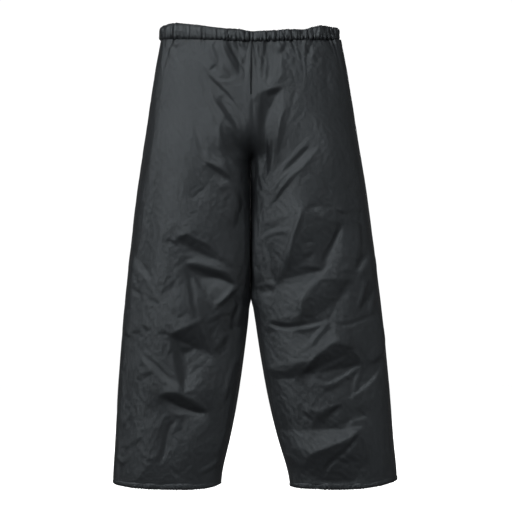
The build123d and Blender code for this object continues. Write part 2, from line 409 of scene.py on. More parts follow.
BACK_FOLDS = [
    # seat, from the waist down to the crotch
    (-4.0, (-90, -46), (-84, -66), (-74, -88), (-60, -108)),
    (3.0, (-78, -46), (-72, -68), (-60, -92), (-46, -112)),
    (-4.0, (40, -46), (46, -70), (56, -92), (70, -110)),
    (3.0, (54, -46), (60, -66), (70, -86), (86, -102)),
    (-3.5, (120, -42), (124, -62), (132, -84)),
    (2.5, (132, -42), (136, -60), (144, -80)),
    (-3.5, (-140, -42), (-146, -64), (-156, -84)),
    (2.5, (-128, -42), (-134, -62), (-144, -82)),
    (4.0, (16, -210), (48, -236), (92, -262), (140, -282)),
    (-5.5, (14, -232), (46, -260), (88, -286), (134, -306)),
    (4.0, (-20, -196), (-52, -230), (-90, -258), (-130, -276)),
    (-5.0, (-18, -222), (-50, -256), (-86, -284), (-126, -300)),
    (3.5, (24, -300), (60, -318), (104, -326), (150, -322)),
    (-5.0, (22, -322), (58, -340), (100, -348), (148, -344)),
    (3.5, (-26, -304), (-66, -322), (-110, -332), (-154, -326)),
    (-4.5, (-24, -326), (-62, -344), (-106, -354), (-150, -348)),
    # backs of the knees
    (4.5, (52, -560), (96, -576), (150, -580), (206, -566)),
    (-6.0, (50, -584), (96, -600), (150, -604), (208, -590)),
    (4.0, (64, -636), (110, -628), (160, -634), (214, -652)),
    (-5.5, (62, -658), (108, -650), (158, -658), (212, -676)),
    (4.5, (-50, -574), (-98, -588), (-148, -586), (-200, -568)),
    (-6.0, (-48, -598), (-96, -612), (-148, -610), (-202, -592)),
    (4.0, (-60, -652), (-108, -640), (-156, -644), (-212, -664)),
    (-5.5, (-58, -676), (-106, -664), (-154, -668), (-210, -688)),
    # shins, where the legs stack a little over the hems
    (4.0, (104, -770), (148, -790), (196, -792), (240, -776)),
    (-5.0, (102, -792), (146, -812), (196, -814), (242, -798)),
    (4.0, (-110, -786), (-150, -772), (-200, -778), (-244, -800)),
    (-5.0, (-108, -808), (-150, -794), (-200, -800), (-246, -822)),
    (3.5, (120, -874), (160, -862), (206, -868)),
    (-4.0, (118, -894), (160, -884), (208, -890)),
    (3.5, (-116, -884), (-160, -896), (-206, -890)),
    (-4.0, (-114, -904), (-160, -916), (-208, -910)),
]


def small_folds(seed, count, longest, highest):
    """Ridge and valley pairs scattered down the legs: short, and mostly slanting across the leg."""
    random = np.random.default_rng(seed)
    folds = []
    for _ in range(count):
        z = -60 - 890 * random.uniform() ** 0.7
        inner, outer = np.interp(-z, (0, 560, 970), (6, 8, 80)), np.interp(-z, (0, 970), (180, 300))
        side = random.choice((-1, 1))
        x = side * random.uniform(inner + 18, outer - 22)
        reach = random.uniform(0.35, 1) * longest / 2
        angle = side * random.normal(-0.5, 0.55)
        wide = random.uniform(0.16, 0.34) * reach
        bow = random.uniform(-0.25, 0.25) * reach
        height = random.uniform(0.4, 1) * highest
        ahead = np.array((math.cos(angle), math.sin(angle)))
        beside = np.array((-math.sin(angle), math.cos(angle)))
        for sign in (1, -1):
            line = [
                (x, z) + ahead * reach * t + beside * (bow * (1 - t * t) + sign * wide * (1 - t * t))
                for t in (-1, 0, 1)
            ]
            folds.append((sign * height, *line))
    return folds


# The flat grid that folds are drawn on: its step, how far it goes to each side, and how far down.
FIELD_STEP = 2.0
FIELD_X, FIELD_Z = 340.0, 1000.0
# How far from a facet the cloth comes back to its place, and the steepest slope of a facet.
FOLD_REACH = 55.0
STEEPEST = 0.75
# Half the width of a crease, and how much the lines and the broad facets are heightened.
CREASE_HALF = 7.0
LINE_GAIN, FACET_GAIN = 1.1, 1.25
# A ridge and the valley listed after it are one facet if they are nearer than this.
PAIR_REACH = 45.0


def along(points, count):
    """Evenly spaced points on a line that bends smoothly through the given ones."""
    points = np.array(points, float)
    length = run_length(*points.T)
    s = np.linspace(0, length[-1], count)
    grown = np.vstack([2 * points[0] - points[1], points, 2 * points[-1] - points[-2]])
    index = np.clip(np.searchsorted(length, s, "right") - 1, 0, len(points) - 2)
    f = ((s - length[index]) / (length[index + 1] - length[index]))[:, None]
    p0, p1, p2, p3 = (grown[index + k] for k in range(4))
    square, cube = 2 * p0 - 5 * p1 + 4 * p2 - p3, 3 * p1 - p0 - 3 * p2 + p3
    return 0.5 * (2 * p1 + (p2 - p0) * f + square * f**2 + cube * f**3)


def facets(folds, samples=200):
    """Each ridge with the valley listed next to it, as strips: two lines and their heights.

    A line that has no partner is a crease.
    """
    lines = [(top, along(points, samples)) for top, *points in folds]
    strips, k = [], 0
    while k < len(lines):
        top, line = lines[k]
        if k + 1 < len(lines):
            below, other = lines[k + 1]
            same_way = np.hypot(*(line[0] - other[0])) + np.hypot(*(line[-1] - other[-1]))
            if np.hypot(*(line[0] - other[-1])) + np.hypot(*(line[-1] - other[0])) < same_way:
                other = other[::-1]
            if top * below < 0 and np.hypot(*(line - other).T).mean() < PAIR_REACH:
                strips.append((line, other, top, below))
                k += 2
                continue
        run = np.gradient(line, axis=0)
        normal = np.stack([-run[:, 1], run[:, 0]], -1) / (np.hypot(*run.T)[:, None] + 1e-9)
        strips += [(line, line + normal * half, 0.6 * top, 0) for half in (CREASE_HALF, -CREASE_HALF)]
        k += 1
    return strips


def inside(corners, x, z):
    """Which points of a flat grid lie inside a polygon."""
    found = np.zeros(np.broadcast(x, z).shape, bool)
    for (x0, z0), (x1, z1) in zip(corners, corners[1:] + corners[:1]):
        crosses = (z0 > z) != (z1 > z)
        found ^= crosses & (x < (x1 - x0) * (z - z0) / (z1 - z0 + 1e-9) + x0)
    return found


def field_size():
    """Columns and rows of the flat grid."""
    return int(2 * FIELD_X / FIELD_STEP) + 1, int(FIELD_Z / FIELD_STEP) + 1


def tent(folds, broad=()):
    """Height field on the flat grid, made of facets that meet at sharp edges, level between them."""
    margin = int(120 / FIELD_STEP)
    nx, nz = (size + 2 * margin for size in field_size())
    slope, count = np.zeros((2, nz, nx)), np.zeros((nz, nx))
    for line, other, top, bottom in facets(folds):
        share = np.linspace(0, 1, len(line))
        gap = other - line
        width = np.hypot(*gap.T) + 1e-6
        drop = (top - bottom) * np.clip(np.minimum(share, 1 - share) * 6, 0.15, 1)
        steep = np.clip(drop / np.maximum(width, 5), -STEEPEST, STEEPEST)
        fall = -steep[:, None] * gap / width[:, None]
        for t in np.linspace(0, 1, 50):
            point = line + t * gap
            i = np.clip(np.round(-point[:, 1] / FIELD_STEP).astype(int) + margin, 0, nz - 1)
            j = np.clip(np.round((point[:, 0] + FIELD_X) / FIELD_STEP).astype(int) + margin, 0, nx - 1)
            np.add.at(slope[0], (i, j), fall[:, 0])
            np.add.at(slope[1], (i, j), -fall[:, 1])
            np.add.at(count, (i, j), 1)
    slope *= LINE_GAIN / np.maximum(count, 1)
    x = (np.arange(nx) - margin) * FIELD_STEP - FIELD_X
    z = -(np.arange(nz)[:, None] - margin) * FIELD_STEP
    for across, up, *corners in broad:
        here = inside(corners, x, z)
        slope[0][here] -= FACET_GAIN * across
        slope[1][here] += FACET_GAIN * up
    kz, kx = np.meshgrid(*(2 * np.pi * np.fft.fftfreq(n, FIELD_STEP) for n in (nz, nx)), indexing="ij")
    waves = 1j * (kx * np.fft.fft2(slope[0]) + kz * np.fft.fft2(slope[1]))
    height = np.fft.ifft2(-waves / (kx**2 + kz**2 + FOLD_REACH**-2)).real
    return height[margin:-margin, margin:-margin]


def fold_height(field, points):
    """The fold field's height at points of the garment, between the points of its grid."""
    i = np.clip(-points[..., 2] / FIELD_STEP, 0, field.shape[0] - 1.001)
    j = np.clip((points[..., 0] + FIELD_X) / FIELD_STEP, 0, field.shape[1] - 1.001)
    i0, j0 = i.astype(int), j.astype(int)
    fi, fj = i - i0, j - j0
    top = field[i0, j0] * (1 - fj) + field[i0, j0 + 1] * fj
    bottom = field[i0 + 1, j0] * (1 - fj) + field[i0 + 1, j0 + 1] * fj
    return top * (1 - fi) + bottom * fi


# ---------------------------------------------------------------- grids and meshes

PANELS = [(side, face) for side in (1, -1) for face in (-1, 1)]
SIDE_NAMES = {1: "left", -1: "right"}
FACE_NAMES = {-1: "front", 1: "back"}


def weld(grids):
    """Index of each grid point in one welded list, and the welded points."""
    flat = np.concatenate([g.reshape(-1, 3) for g in grids])
    keys = np.round(flat, 2) + 0.0
    _, first, inverse = np.unique(keys, axis=0, return_index=True, return_inverse=True)
    return inverse.ravel(), flat[first]


def grid_normals(grids, inverse):
    """Outward unit normals of the grids, shared where they are welded."""
    normals = []
    for (side, face), grid in zip(PANELS, grids):
        across = np.gradient(grid, axis=1)
        down = np.gradient(grid, axis=0)
        normal = np.cross(across, down) * -side * face
        normals.append(normal.reshape(-1, 3))
    flat = np.concatenate(normals)
    total = np.zeros((inverse.max() + 1, 3))
    np.add.at(total, inverse, flat)
    total /= np.linalg.norm(total, axis=1)[:, None] + 1e-12
    return total[inverse].reshape(len(grids), *grids[0].shape)


def grid_faces(rows, columns, flip):
    """Quads of a grid."""
    r, c = np.meshgrid(np.arange(rows), np.arange(columns), indexing="ij")
    a = r * (columns + 1) + c
    quads = np.stack([a, a + columns + 1, a + columns + 2, a + 1], axis=-1).reshape(-1, 4)
    return quads[:, ::-1] if flip else quads


def make_object(name, points, faces, uv=None, normals=None, material=None):
    """A mesh object from points in millimetres."""
    mesh = bpy.data.meshes.new(name)
    mesh.from_pydata((np.asarray(points) * MM).tolist(), [], np.asarray(faces).tolist())
    mesh.polygons.foreach_set("use_smooth", np.ones(len(mesh.polygons), bool))
    if uv is not None:
        layer = mesh.uv_layers.new(name="cloth")
        loops = np.zeros(len(mesh.loops), np.int32)
        mesh.loops.foreach_get("vertex_index", loops)
        layer.data.foreach_set("uv", (np.asarray(uv)[loops] * MM).astype(np.float32).ravel())
    if normals is not None:
        mesh.normals_split_custom_set_from_vertices(np.asarray(normals).tolist())
    mesh.update()
    obj = bpy.data.objects.new(name, mesh)
    bpy.context.scene.collection.objects.link(obj)
    if material is not None:
        mesh.materials.append(material)
    return obj


def seam_fade(grid):
    """1 over a panel and 0 at its side seam and inseam, so that front and back folds meet."""
    rows, columns = grid.shape[0] - 1, grid.shape[1] - 1
    step = np.linalg.norm(np.diff(grid, axis=1), axis=-1)
    from_side = np.concatenate([np.zeros((rows + 1, 1)), np.cumsum(step, axis=1)], axis=1)
    to_edge = from_side[:, -1:] - from_side
    on_leg = np.abs(grid[:, -1, 1:2]) < 1e-3
    return ease(from_side / 14) * np.where(on_leg, ease(to_edge / 14), 1)


# ---------------------------------------------------------------- simulation

# How much longer the cloth is than the space it fills, up the leg and round it: height, share.
SPARE_UP = [
    (-40, 0.01), (-200, 0.015), (-420, 0.03), (-520, 0.05),
    (-650, 0.055), (-800, 0.05), (-930, 0.03), (-966, 0.02),
]
SPARE_ROUND = [
    (-40, 0.10), (-80, 0.06), (-130, 0.025), (-300, 0.015),
    (-600, 0.02), (-880, 0.02), (-945, 0.04), (-966, 0.08),
]
SIM_FRAMES = 24
# How strongly each point is drawn to its place: on the cloth, the fold lines, the side seam and the inseam.
GOAL = 0.012
HOLD_LINES = 0.3
HOLD_SIDE, HOLD_EDGE = 0.25, 0.5
CLOTH = {
    "quality": 6,
    "mass": 0.01,
    "air_damping": 1,
    "tension_stiffness": 30,
    "compression_stiffness": 30,
    "shear_stiffness": 8,
    "bending_stiffness": 1.0,
    "tension_damping": 2,
    "compression_damping": 2,
    "shear_damping": 2,
    "bending_damping": 1,
    "vertex_group_mass": "held",
    "pin_stiffness": 1.0,
    "use_pressure": True,
    "uniform_pressure_force": 2.0,
}
FOLDS = {
    -1: FRONT_FOLDS + small_folds(SEED, 46, 46, 1.5),
    1: BACK_FOLDS + small_folds(SEED + 1, 80, 84, 2.4),
}


def spare(table, z):
    """A table's share at a height."""
    heights, shares = np.array(table, float)[::-1].T
    return np.interp(z, heights, shares)


def line_field(folds):
    """1 on the fold lines, falling to 0 a few millimetres away, on the same flat grid as tent."""
    nx, nz = field_size()
    mark = np.zeros((nz, nx))
    for _, *points in folds:
        line = along(points, 300)
        share = np.linspace(0, 1, len(line))
        i = np.clip(np.round(-line[:, 1] / FIELD_STEP).astype(int), 0, nz - 1)
        j = np.clip(np.round((line[:, 0] + FIELD_X) / FIELD_STEP).astype(int), 0, nx - 1)
        mark[i, j] = np.maximum(mark[i, j], np.clip(np.minimum(share, 1 - share) * 5, 0.1, 1))
    grown = np.pad(mark, 1)
    return np.max([grown[a:nz + a, b:nx + b] for a in range(3) for b in range(3)], axis=0)


def simulate(grids, inverse):
    """How far each point moves when the shell, cut larger than its space, buckles over the wadding."""
    points = np.zeros((inverse.max() + 1, 3))
    points[inverse] = np.concatenate([g.reshape(-1, 3) for g in grids])
    size = grids[0].shape[0] * grids[0].shape[1]
    faces = []
    for k, (side, face) in enumerate(PANELS):
        quads = grid_faces(grids[k].shape[0] - 1, grids[k].shape[1] - 1, side * face < 0)
        faces.append(inverse[k * size + quads])
    obj = make_object("cloth_start", points, np.concatenate(faces))
    # the cloth's own size
    obj.shape_key_add(name="start")
    cut = obj.shape_key_add(name="cut")
    z = points[:, 2]
    levels = np.linspace(-1000, 0, 2001)
    stretched = np.concatenate([[0], np.cumsum((1 + spare(SPARE_UP, levels))[1:] * np.diff(levels))])
    cut_z = np.interp(z, levels, stretched) - stretched[-1]
    centre, _, _ = shape_at(z, 1)
    centre = np.sign(points[:, 0]) * centre
    wide = 1 + spare(SPARE_ROUND, z)
    rest = np.stack([centre + (points[:, 0] - centre) * wide, points[:, 1] * wide, cut_z], -1)
    cut.data.foreach_set("co", (rest * MM).astype(np.float32).ravel())
    # seams hold the cloth; elsewhere it is only drawn weakly to its place
    hold = np.full(len(points), GOAL)
    for k, grid in enumerate(grids):
        index = inverse[k * size:(k + 1) * size].reshape(grid.shape[:2])
        hold[index[:, 0]] = np.maximum(hold[index[:, 0]], HOLD_SIDE)
        hold[index[:, -1]] = np.maximum(hold[index[:, -1]], HOLD_EDGE)
        marks = fold_height(line_field(FOLDS[PANELS[k][1]]), grid)
        hold[index] = np.maximum(hold[index], HOLD_LINES * marks)
        hold[index[0]] = 1
        hold[index[-1]] = 1
    group = obj.vertex_groups.new(name="held")
    for i, weight in enumerate(hold.tolist()):
        group.add([i], weight, "REPLACE")
    cloth = obj.modifiers.new("cloth", "CLOTH")
    for setting, value in CLOTH.items():
        setattr(cloth.settings, setting, value)
    cloth.settings.rest_shape_key = cut
    cloth.settings.effector_weights.gravity = 0
    cloth.collision_settings.use_collision = False
    cloth.collision_settings.use_self_collision = False
    cloth.point_cache.frame_start = 1
    cloth.point_cache.frame_end = SIM_FRAMES
    scene = bpy.context.scene
    for frame_number in range(1, SIM_FRAMES + 1):
        scene.frame_set(frame_number)
    ready = obj.evaluated_get(bpy.context.evaluated_depsgraph_get())
    out = np.zeros(len(ready.data.vertices) * 3)
    ready.data.vertices.foreach_get("co", out)
    scene.frame_set(1)
    bpy.data.objects.remove(obj)
    moved = (out.reshape(-1, 3) / MM - points)[inverse]
    return [moved[k * size:(k + 1) * size].reshape(grid.shape) for k, grid in enumerate(grids)]


# ---------------------------------------------------------------- materials

class Graph:
    """Short calls that add nodes to a node tree. Each gives the new node's output."""

    def __init__(self, owner):
        owner.use_nodes = True
        self.nodes, self.links = owner.node_tree.nodes, owner.node_tree.links

    def add(self, kind, output, values, **settings):
        """A node with its inputs set to numbers or linked to sockets."""
        node = self.nodes.new(kind)
        for setting, value in settings.items():
            setattr(node, setting, value)
        for name, value in values.items():
            if isinstance(value, bpy.types.NodeSocket):
                self.links.new(value, node.inputs[name])
            else:
                node.inputs[name].default_value = value
        return node.outputs[output]

    def math(self, kind, a, b=0.5):
        """A sum, product or sine."""
        return self.add("ShaderNodeMath", 0, {0: a, 1: b}, operation=kind)

    def noise(self, vector, scale, rotation=0.0, detail=3.0, roughness=0.55):
        """Noise along a vector stretched by a scale for each axis."""
        turn = {"Scale": scale, "Rotation": (0, 0, rotation), "Vector": vector}
        stretched = self.add("ShaderNodeMapping", "Vector", turn)
        grain = {"Scale": 1.0, "Detail": detail, "Roughness": roughness, "Vector": stretched}
        return self.add("ShaderNodeTexNoise", "Fac", grain)

    def ramp(self, value, low, high, from_low=0.0, from_high=1.0):
        """A value spread onto another range."""
        ends = {"From Min": from_low, "From Max": from_high, "To Min": low, "To Max": high, "Value": value}
        return self.add("ShaderNodeMapRange", "Result", ends)

    def tint(self, value, dark, light):
        """A colour between two, by a value."""
        node = self.nodes.new("ShaderNodeMix")
        node.data_type = "RGBA"
        node.inputs["A"].default_value = (*dark, 1)
        node.inputs["B"].default_value = (*light, 1)
        self.links.new(value, node.inputs["Factor"])
        return node.outputs["Result"]

    def bump(self, height, distance, under=None):
        """A bump node on top of another."""
        values = {"Distance": distance, "Strength": 1.0, "Height": height}
        if under is not None:
            values["Normal"] = under
        return self.add("ShaderNodeBump", "Normal", values)


def set_inputs(shader, values):
    """Sets a shader's own sockets."""
    for name, value in values.items():
        shader.inputs[name].default_value = value


def woven(
    name, dark, light, roughness,
    thread=0.00065, weave_depth=0.00006, crumple=0.0005, glint=(1, 1, 1, 1),
):
    """Plain-woven cloth: crossing threads, uneven yarns, small crumples and faint wear.

    It is laid out by the cloth's own UV, in metres.
    """
    made = bpy.data.materials.new(name)
    graph = Graph(made)
    shader = graph.nodes["Principled BSDF"]
    cloth = graph.add("ShaderNodeUVMap", "UV", {}, uv_map="cloth")
    # crossing threads
    split = graph.nodes.new("ShaderNodeSeparateXYZ")
    graph.links.new(cloth, split.inputs[0])
    turns = [graph.math("MULTIPLY", split.outputs[k], 2 * math.pi / thread) for k in (0, 1)]
    threads = graph.math("MULTIPLY", *(graph.math("SINE", turn) for turn in turns))
    # yarns thicker in one place than another, along both directions
    yarns = (graph.noise(cloth, scale, detail=2.0) for scale in ((900, 9, 1), (9, 900, 1)))
    slubs = graph.math("ADD", *yarns)
    # soft crumples of coated nylon
    crumples = graph.noise(cloth, (34, 22, 1), 0.5, 4.0, 0.55)
    creases = graph.noise(cloth, (120, 60, 1), -0.6, 3.0, 0.6)
    # wear: slightly rubbed, duller patches
    wear = graph.noise(cloth, (9, 6, 1), 0.0, 5.0, 0.65)
    faded, streaked = graph.ramp(wear, 0.0, 0.75, 0.3, 0.7), graph.ramp(slubs, -0.15, 0.25, 0.7, 1.3)
    colour = graph.math("ADD", faded, streaked)
    graph.links.new(graph.tint(colour, dark, light), shader.inputs["Base Color"])
    rubbed = graph.ramp(wear, roughness - 0.035, roughness + 0.045, 0.3, 0.7)
    gloss = graph.math("ADD", rubbed, graph.ramp(slubs, -0.02, 0.02, 0.7, 1.3))
    graph.links.new(gloss, shader.inputs["Roughness"])
    set_inputs(shader, {"Specular IOR Level": 0.5, "Specular Tint": glint})
    normal = graph.bump(crumples, crumple * 2.2)
    for height, depth in ((creases, crumple * 0.5), (slubs, weave_depth * 0.7), (threads, weave_depth)):
        normal = graph.bump(height, depth, under=normal)
    graph.links.new(normal, shader.inputs["Normal"])
    return made


def stage_material():
    """Plain near-white paper for the floor."""
    made = bpy.data.materials.new("paper")
    shader = Graph(made).nodes["Principled BSDF"]
    white = {"Emission Color": (1, 1, 1, 1), "Emission Strength": 0.9}
    set_inputs(shader, {"Base Color": (0.5, 0.5, 0.5, 1), "Roughness": 0.9, **white})
    return made


# ---------------------------------------------------------------- camera and light

# Width of the view and the point at its middle, in metres.
VIEW_WIDTH = 1.0752
VIEW_CENTRE = (0.0105, -0.489)
CAMERA_DISTANCE = 4.2


def make_camera():
    """A level camera in front, with the whole garment in the frame."""
    data = bpy.data.cameras.new("camera")
    data.sensor_width = 36
    data.lens = 36 * CAMERA_DISTANCE / VIEW_WIDTH
    camera = bpy.data.objects.new("camera", data)
    camera.location = (VIEW_CENTRE[0], -CAMERA_DISTANCE, VIEW_CENTRE[1])
    camera.rotation_euler = (math.radians(90), 0, 0)
    bpy.context.scene.collection.objects.link(camera)
    bpy.context.scene.camera = camera


def area_light(name, place, target, size, power_w):
    """A soft rectangular light aimed at a point."""
    data = bpy.data.lights.new(name, "AREA")
    data.shape = "RECTANGLE"
    data.size, data.size_y = size
    data.energy = power_w
    light = bpy.data.objects.new(name, data)
    light.location = place
    light.rotation_euler = (Vector(target) - Vector(place)).to_track_quat("-Z", "Y").to_euler()
    bpy.context.scene.collection.objects.link(light)


def make_world():
    """White to the camera, and a dimmer grey as light."""
    world = bpy.data.worlds.new("studio")
    graph = Graph(world)
    background = graph.nodes["Background"]
    background.inputs["Color"].default_value = (1, 1, 1, 1)
    to_camera = graph.add("ShaderNodeLightPath", "Is Camera Ray", {})
    graph.links.new(graph.ramp(to_camera, 0.16, 1.05), background.inputs["Strength"])
    bpy.context.scene.world = world


def make_stage():
    """A pale floor under the hanging trousers."""
    floor_z = HEM_BOTTOM * MM - 0.16
    points = [(-6000, -6000, 0), (6000, -6000, 0), (6000, 6000, 0), (-6000, 6000, 0)]
    floor = make_object("floor", points, [(0, 1, 2, 3)], material=stage_material())
    floor.location.z = floor_z
    floor.visible_diffuse = False
    floor.visible_glossy = False


def make_light():
    """Broad soft light from the upper left, weaker ones above and from the right, and one behind."""
    middle = (0, 0, -0.42)
    area_light("key", (-1.6, -2.3, 1.15), (-0.1, 0, -0.36), (1.3, 1.4), 86)
    area_light("top", (-0.4, -0.9, 1.9), middle, (1.2, 0.6), 8)
    area_light("fill", (2.6, -2.4, -0.1), middle, (1.2, 2.0), 17)
    area_light("back", (0.2, 3.2, 1.1), middle, (2.0, 1.8), 140)


# ---------------------------------------------------------------- build

def upsample(grid):
    """A grid with a new point between each two, on a smooth curve through its neighbours."""
    for axis in (0, 1):
        grid = np.swapaxes(grid, 0, axis)
        ends = np.concatenate([2 * grid[:1] - grid[1:2], grid, 2 * grid[-1:] - grid[-2:-1]])
        between = (9 * (ends[1:-2] + ends[2:-1]) - ends[:-3] - ends[3:]) / 16
        grown = np.zeros((2 * len(grid) - 1, *grid.shape[1:]))
        grown[::2] = grid
        grown[1::2] = between
        grid = np.swapaxes(grown, 0, axis)
    return grid


def limited(moved, most):
    """Shortens moves longer than most, softly."""
    size = np.linalg.norm(moved, axis=-1, keepdims=True) + 1e-9
    return moved * np.tanh(size / most) * most / size


def keep_apart(points, side):
    """Keeps a leg's inside on its own side of the curved surface where the two legs touch."""
    x, y, z = points[..., 0], points[..., 1], points[..., 2]
    touching = ease((CROTCH + 7 - z) / 6) * ease((z - LEG_TOUCH_END) / 25)
    border = LEG_CURVE * np.tanh(y / 9) * touching
    apart = LEG_CLEAR * ease((CROTCH + 2 - z) / 3)
    x = x + border * np.exp(-np.maximum(side * x, 0) / 14)
    meets = touching * ease((LEG_TOUCH - side * x) / 10) * np.exp(-((y / 11) ** 4))
    x = x + meets * (border + side * (apart + 0.004 * y**2) - x)
    on_leg = z < CROTCH
    x = np.where(on_leg & (side * (x - border) < apart), border + side * apart, x)
    points = points.copy()
    points[..., 0] = x
    return points


def arc(points, closed=False):
    """Length along a line of points, from 0."""
    points = np.vstack([points, points[:1]]) if closed else points
    return np.concatenate([[0], np.cumsum(np.linalg.norm(np.diff(points, axis=0), axis=1))])


def at_lengths(wanted, length, points):
    """Points of a line at the lengths wanted along it."""
    return np.stack([np.interp(wanted, length, points[:, i]) for i in range(3)], -1)


def resampled(points, count):
    """A closed line as count evenly spaced points."""
    length = arc(points, closed=True)
    s = np.linspace(0, length[-1], count, endpoint=False)
    return at_lengths(s, length, np.vstack([points, points[:1]]))


def slab_faces(rows, columns, flip):
    """Faces of a closed slab between an outer and an inner grid."""
    outer = grid_faces(rows, columns, flip)
    count = (rows + 1) * (columns + 1)
    inner = outer[:, ::-1] + count
    index = np.arange(count).reshape(rows + 1, columns + 1)
    border = np.concatenate([index[:-1, 0], index[-1, :-1], index[:0:-1, -1], index[0, :0:-1]])
    after = np.roll(border, -1)
    rim = np.stack([border, border + count, after + count, after], -1)
    return np.concatenate([outer, inner, rim[:, ::-1] if flip else rim])


def slab(name, outer, inner, flip, made_of, normals=None):
    """A closed piece between two grids of points."""
    rows, columns = outer.shape[0] - 1, outer.shape[1] - 1
    points = np.concatenate([outer.reshape(-1, 3), inner.reshape(-1, 3)])
    if normals is not None:
        normals = np.concatenate([normals.reshape(-1, 3), -normals.reshape(-1, 3)])
    uv = np.concatenate([cloth_uv(outer).reshape(-1, 2)] * 2)
    return make_object(name, points, slab_faces(rows, columns, flip), uv, normals, made_of)


def cloth_uv(grid):
    """Lengths across and down a grid, in millimetres."""
    step = np.linalg.norm(np.diff(grid, axis=1), axis=-1).mean()
    drop = np.linalg.norm(np.diff(grid, axis=0), axis=-1).mean()
    return np.stack(np.meshgrid(np.arange(grid.shape[1]) * step, -np.arange(grid.shape[0]) * drop), -1)


def loop_of(rows):
    """A closed loop from panel edges: each runs on from the one before."""
    return np.vstack([row[:-1] for row in rows])


def outward(loop):
    """Level unit normals pointing out of a closed loop seen from above."""
    run = np.roll(loop, -3, axis=0) - np.roll(loop, 3, axis=0)
    normal = np.stack([run[:, 1], -run[:, 0], np.zeros(len(loop))], -1)
    normal /= np.linalg.norm(normal, axis=1)[:, None]
    middle = loop.mean(axis=0)
    return normal * np.sign(((loop - middle) * normal).sum(axis=1).mean())


def pleat_edges(length, spacing, random):
    """Where pleats of uneven widths begin and end along a line."""
    count = int(length[-1] / spacing)
    widths = random.uniform(0.45, 1.55, count)
    return np.concatenate([[0], np.cumsum(widths)]) * length[-1] / widths.sum()


def pleats(s, edges, heights):
    """Round ridges between sharp valleys, at a distance s round the casing."""
    s = np.mod(s, edges[-1])
    k = np.clip(np.searchsorted(edges, s, "right") - 1, 0, len(edges) - 2)
    share = (s - edges[k]) / (edges[k + 1] - edges[k])
    return heights[k] * (np.sin(np.pi * share) ** 0.7 - 0.55)


def closed_tube(name, rings, around, height, made_of):
    """A tube through closed rings of points, the last ring joined to the first."""
    rows, columns = rings.shape[:2]
    r, c = np.meshgrid(np.arange(rows), np.arange(columns), indexing="ij")
    below, beside = (r + 1) % rows, (c + 1) % columns
    corners = (r * columns + c, r * columns + beside, below * columns + beside, below * columns + c)
    uv = np.stack(np.meshgrid(around, np.arange(rows) * height), -1)
    quads = np.stack(corners, -1).reshape(-1, 4)
    obj = make_object(name, rings.reshape(-1, 3), quads, uv.reshape(-1, 2), None, made_of)
    fix_outside(obj)
    return obj


def waves(random, share, counts):
    """A sum of waves round a closed loop, with random heights and phases."""
    return sum(random.uniform(-1, 1) * np.sin(2 * np.pi * (k * share + random.uniform())) for k in counts)


# Points round a casing's section.
CASING_PROFILE = 30


def casing(name, loop, top, bottom, inward, thick, ruche, spacing, slant, strength, seed, made_of):
    """A puffy casing that cloth is gathered into by the elastic inside it, as a closed tube round a loop."""
    random = np.random.default_rng(seed)
    normal = outward(loop)
    s = arc(loop, closed=True)
    sets = []
    for share, gap in ((1.0, spacing), (0.45, spacing * 0.47)):
        edges = pleat_edges(s, gap, random)
        sets.append((edges, share * random.uniform(0.5, 1.3, len(edges))))
    way_round = s[:-1] / s[-1]
    slow, lean = waves(random, way_round, range(7, 19)), waves(random, way_round, range(3, 12))
    edges = pleat_edges(s, spacing * 0.62, random)
    pinch = 2.6 * pleats(s[:-1], edges, random.uniform(0.3, 1.5, len(edges)))
    grid = []
    for phi in np.linspace(0, 2 * np.pi, CASING_PROFILE, endpoint=False):
        c, d = np.cos(phi), np.sin(phi)
        across = np.sign(c) * abs(c) ** 0.8
        up = np.sign(d) * abs(d) ** 0.8
        shift = s[:-1] + up * (slant + 5.5 * lean)
        fold = sum(pleats(shift, edges, heights) for edges, heights in sets)
        swell = ruche * strength * fold * (0.55 + 0.45 * abs(c)) + 0.8 * slow * strength
        # puckers where the casing is sewn down
        low = ease(-d * 1.3 + 0.1)
        swell = swell + low * ruche * pinch * (0.3 + 0.7 * strength)
        radial = -inward + thick / 2 * across + swell * c
        z = (top + bottom) / 2 + (top - bottom) / 2 * up + swell * d * 0.55 + 0.35 * slow * strength
        ring = loop + normal * radial[:, None]
        ring[:, 2] = z
        grid.append(ring)
    return closed_tube(name, np.array(grid), s[:-1], (top - bottom).mean() * 2.4 / CASING_PROFILE, made_of)


def fix_outside(obj):
    """Turns a closed mesh's faces so that they point out."""
    mesh = bmesh.new()
    mesh.from_mesh(obj.data)
    bmesh.ops.recalc_face_normals(mesh, faces=mesh.faces)
    mesh.to_mesh(obj.data)
    mesh.free()


def flat_band(name, loop, top, bottom, inward, thick, made_of):
    """Elastic standing on edge inside a casing."""
    normal = outward(loop)
    corners = ((thick / 2, top), (thick / 2, bottom), (-thick / 2, bottom), (-thick / 2, top))
    rings = []
    for out, z in corners:
        ring = loop + normal * (out - inward)
        ring[:, 2] = z
        rings.append(ring)
    return closed_tube(name, np.array(rings), arc(loop, closed=True)[:-1], (top - bottom).mean(), made_of)


def unit(vectors):
    """Vectors shortened or stretched to length 1."""
    return vectors / (np.linalg.norm(vectors, axis=-1, keepdims=True) + 1e-12)


# Length, width and height of a stitch, and the spacing of stitches.
STITCH = (2.5, 0.7, 0.45)
STITCH_PITCH = 3.6
# The rings of points that shape a stitch, as place along it and size, and the points in each.
STITCH_RINGS = [(-0.5, 0.35), (-0.3, 0.9), (0, 1), (0.3, 0.9), (0.5, 0.35)]
STITCH_SIDES = 6


